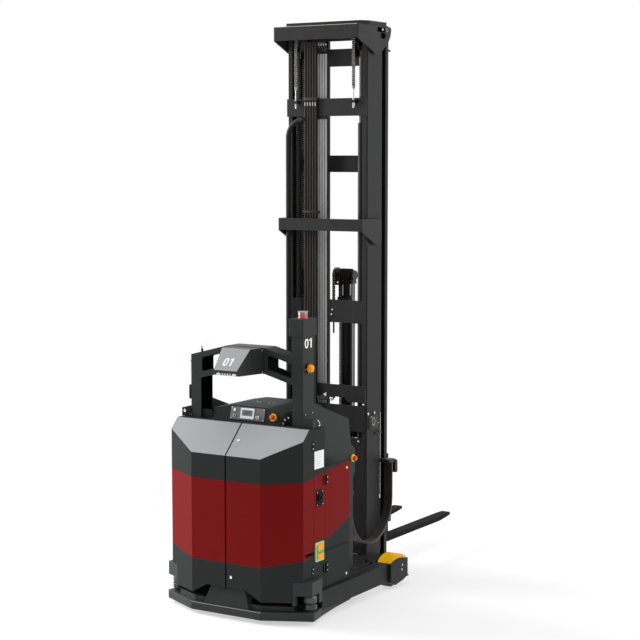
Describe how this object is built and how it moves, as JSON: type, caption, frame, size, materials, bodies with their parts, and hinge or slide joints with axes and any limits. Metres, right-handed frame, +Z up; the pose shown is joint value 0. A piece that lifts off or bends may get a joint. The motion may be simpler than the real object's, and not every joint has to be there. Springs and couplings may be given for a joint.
{
  "type": "automated guided reach truck",
  "caption": "Driverless reach truck: faceted drive housing with sensor arch, two outrigger legs and a telescopic mast with forks that reaches between the legs.",
  "frame": {"origin": "on the floor, on the middle plane, half way along the whole length from the bumper's nose to the fork tips", "axes": "+X to the truck's right seen from behind the bumper looking along the forks, +Y along the forks towards their tips, +Z up the mast"},
  "size_m": [1.336, 3.108, 4.527],
  "materials": {
    "paint_dark": "satin",
    "paint_mid": "satin",
    "door_paint": "satin, with a red band and a pale upper facet",
    "mast_paint": "satin",
    "cover_paint": "satin",
    "fork_steel": "forged, black painted",
    "steel": "ground",
    "chrome": "polished",
    "chain_steel": "oiled",
    "casting": "cast",
    "tread_drive": "polyurethane",
    "tread_load": "polyurethane",
    "yellow": "gloss",
    "yellow_plastic": "moulded",
    "red_plastic": "moulded",
    "black_plastic": "moulded",
    "scanner_yellow": "moulded head with a dark window",
    "panel_grey": "film",
    "display_white": "moulded",
    "white_plastic": "moulded",
    "blue_plastic": "moulded",
    "lamp_red": "translucent",
    "lamp_amber": "translucent",
    "copper": "brushed copper on a green plate",
    "hose_rubber": "smooth",
    "cable_rubber": "smooth",
    "battery_case": "satin",
    "hydraulic": "satin"
  },
  "bodies": {
    "chassis": {"chassis_frame": "paint_dark", "bumper_skirt": "paint_dark", "leg_left": "paint_dark", "leg_right": "paint_dark", "side_panels": "door_paint", "corner_covers": "paint_mid", "corner_scanners": "scanner_yellow", "rear_housing": "paint_dark", "console_hood": "paint_dark", "control_plate": "panel_grey", "display": "display_white", "estop_collars": "yellow_plastic", "arch_post_right": "paint_dark", "arch_bridge": "paint_dark", "sensor_box": "paint_mid", "sensor_strip": "steel", "beacon": "lamp_red", "turn_lamps": "lamp_amber", "hook_brackets": "black_plastic", "charging_contacts": "copper", "socket_plate": "black_plastic", "battery": "battery_case", "hydraulic_unit": "hydraulic", "wheel_guards": "yellow", "cable_band": "cable_rubber"},
    "front_door_right": {"front_door_right": "door_paint"},
    "front_door_left": {"front_door_left": "door_paint"},
    "rear_door_right": {"rear_door_right": "door_paint"},
    "rear_door_left": {"rear_door_left": "door_paint"},
    "button_white": {"button_white": "white_plastic"},
    "button_blue": {"button_blue": "blue_plastic"},
    "key_switch": {"key_switch": "steel"},
    "estop_console": {"estop_console": "red_plastic"},
    "estop_left": {"estop_left": "red_plastic"},
    "estop_right": {"estop_right": "red_plastic"},
    "steering": {"steering_unit": "casting"},
    "drive_wheel": {"drive_wheel": "tread_drive"},
    "load_wheel_left": {"load_wheel_left": "tread_load"},
    "load_wheel_right": {"load_wheel_right": "tread_load"},
    "reach": {"mast_base": "mast_paint", "outer_mast": "mast_paint", "mast_side_covers": "cover_paint", "main_cylinders": "mast_paint", "chain_anchors": "steel", "mast_hoses": "hose_rubber", "mast_cables": "cable_rubber"},
    "middle_stage": {"middle_mast": "mast_paint", "lift_rods": "chrome", "main_chains": "chain_steel"},
    "middle_rollers": {"middle_rollers": "steel"},
    "top_sheaves": {"top_sheaves": "casting"},
    "inner_stage": {"inner_mast": "mast_paint", "free_lift_cylinder": "mast_paint"},
    "inner_rollers": {"inner_rollers": "steel"},
    "free_lift": {"free_lift_rod": "chrome", "free_lift_chain": "chain_steel"},
    "free_sheaves": {"free_lift_sheaves": "casting"},
    "carriage": {"fork_carriage": "mast_paint", "forks": "fork_steel", "carriage_rollers": "steel"}
  },
  "joints": [
    {"name": "front_door_right_hinge", "type": "hinge", "parent": "chassis", "child": "front_door_right", "pos_m": [0.605, -1.2655, 0.7], "axis": [0, 0, 1], "range_deg": [0, 100]},
    {"name": "front_door_left_hinge", "type": "hinge", "parent": "chassis", "child": "front_door_left", "pos_m": [-0.605, -1.2655, 0.7], "axis": [0, 0, -1], "range_deg": [0, 100]},
    {"name": "rear_door_right_hinge", "type": "hinge", "parent": "chassis", "child": "rear_door_right", "pos_m": [0.606, -1.103, 0.7], "axis": [0, 0, -1], "range_deg": [0, 110]},
    {"name": "rear_door_left_hinge", "type": "hinge", "parent": "chassis", "child": "rear_door_left", "pos_m": [-0.606, -1.103, 0.7], "axis": [0, 0, 1], "range_deg": [0, 110]},
    {"name": "button_white_press", "type": "slide", "parent": "chassis", "child": "button_white", "axis": [0, 0.9721, -0.2346], "range_m": [0, 0.004], "stiffness_N_per_m": 900, "springref_m": -0.002},
    {"name": "button_blue_press", "type": "slide", "parent": "chassis", "child": "button_blue", "axis": [0, 0.9721, -0.2346], "range_m": [0, 0.004], "stiffness_N_per_m": 900, "springref_m": -0.002},
    {"name": "key_turn", "type": "hinge", "parent": "chassis", "child": "key_switch", "pos_m": [0.092, -1.25261, 1.49188], "axis": [0, -0.9721, 0.2346], "range_deg": [0, 90]},
    {"name": "estop_console_press", "type": "slide", "parent": "chassis", "child": "estop_console", "axis": [0, 0.9721, -0.2346], "range_m": [0, 0.006], "stiffness_N_per_m": 2500, "springref_m": -0.003},
    {"name": "estop_left_press", "type": "slide", "parent": "chassis", "child": "estop_left", "axis": [1, 0, 0], "range_m": [0, 0.006], "stiffness_N_per_m": 2500, "springref_m": -0.003},
    {"name": "estop_right_press", "type": "slide", "parent": "chassis", "child": "estop_right", "axis": [-1, 0, 0], "range_m": [0, 0.006], "stiffness_N_per_m": 2500, "springref_m": -0.003},
    {"name": "steering", "type": "hinge", "parent": "chassis", "child": "steering", "pos_m": [0, -1.224, 0.44], "axis": [0, 0, 1], "range_deg": [-90, 90]},
    {"name": "drive_wheel_spin", "type": "hinge", "parent": "steering", "child": "drive_wheel", "pos_m": [0, -1.224, 0.172], "axis": [1, 0, 0], "continuous": true},
    {"name": "load_wheel_left_spin", "type": "hinge", "parent": "chassis", "child": "load_wheel_left", "pos_m": [-0.55, -0.057, 0.125], "axis": [1, 0, 0], "continuous": true},
    {"name": "load_wheel_right_spin", "type": "hinge", "parent": "chassis", "child": "load_wheel_right", "pos_m": [0.55, -0.057, 0.125], "axis": [1, 0, 0], "continuous": true},
    {"name": "mast_reach", "type": "slide", "parent": "chassis", "child": "reach", "axis": [0, 1, 0], "range_m": [-0.36, 0], "deforming": ["cable_band"]},
    {"name": "middle_lift", "type": "slide", "parent": "reach", "child": "middle_stage", "axis": [0, 0, 1], "range_m": [0, 3.4], "deforming": ["main_chains"]},
    {"name": "inner_lift", "type": "slide", "parent": "middle_stage", "child": "inner_stage", "axis": [0, 0, 1], "range_m": [0, 3.4]},
    {"name": "carriage_lift", "type": "slide", "parent": "inner_stage", "child": "carriage", "axis": [0, 0, 1], "range_m": [-0.19, 3.4]},
    {"name": "free_rod_lift", "type": "slide", "parent": "inner_stage", "child": "free_lift", "axis": [0, 0, 1], "range_m": [-0.096, 1.701], "deforming": ["free_lift_chain"]},
    {"name": "free_sheave_spin", "type": "hinge", "parent": "free_lift", "child": "free_sheaves", "pos_m": [0, 0.211, 2.48], "axis": [1, 0, 0], "range_deg": [-99, 1741]},
    {"name": "top_sheave_spin", "type": "hinge", "parent": "middle_stage", "child": "top_sheaves", "pos_m": [0, -0.085, 4.385], "axis": [1, 0, 0], "range_deg": [-1, 3419]},
    {"name": "middle_roller_spin", "type": "hinge", "parent": "middle_stage", "child": "middle_rollers", "pos_m": [0, 0.015, 0.3], "axis": [1, 0, 0], "range_deg": [-1, 2190]},
    {"name": "inner_roller_spin", "type": "hinge", "parent": "inner_stage", "child": "inner_rollers", "pos_m": [0, 0.114, 0.33], "axis": [1, 0, 0], "range_deg": [-1, 2190]}
  ],
  "couplings": [
    {"joint": "inner_lift", "follows": "middle_lift", "ratio": 1},
    {"joint": "free_rod_lift", "follows": "carriage_lift", "ratio": 0.5},
    {"joint": "free_sheave_spin", "follows": "carriage_lift", "rad_per_m": 8.9286},
    {"joint": "top_sheave_spin", "follows": "middle_lift", "rad_per_m": 17.544},
    {"joint": "middle_roller_spin", "follows": "middle_lift", "rad_per_m": 11.236},
    {"joint": "inner_roller_spin", "follows": "middle_lift", "rad_per_m": 11.236}
  ]
}
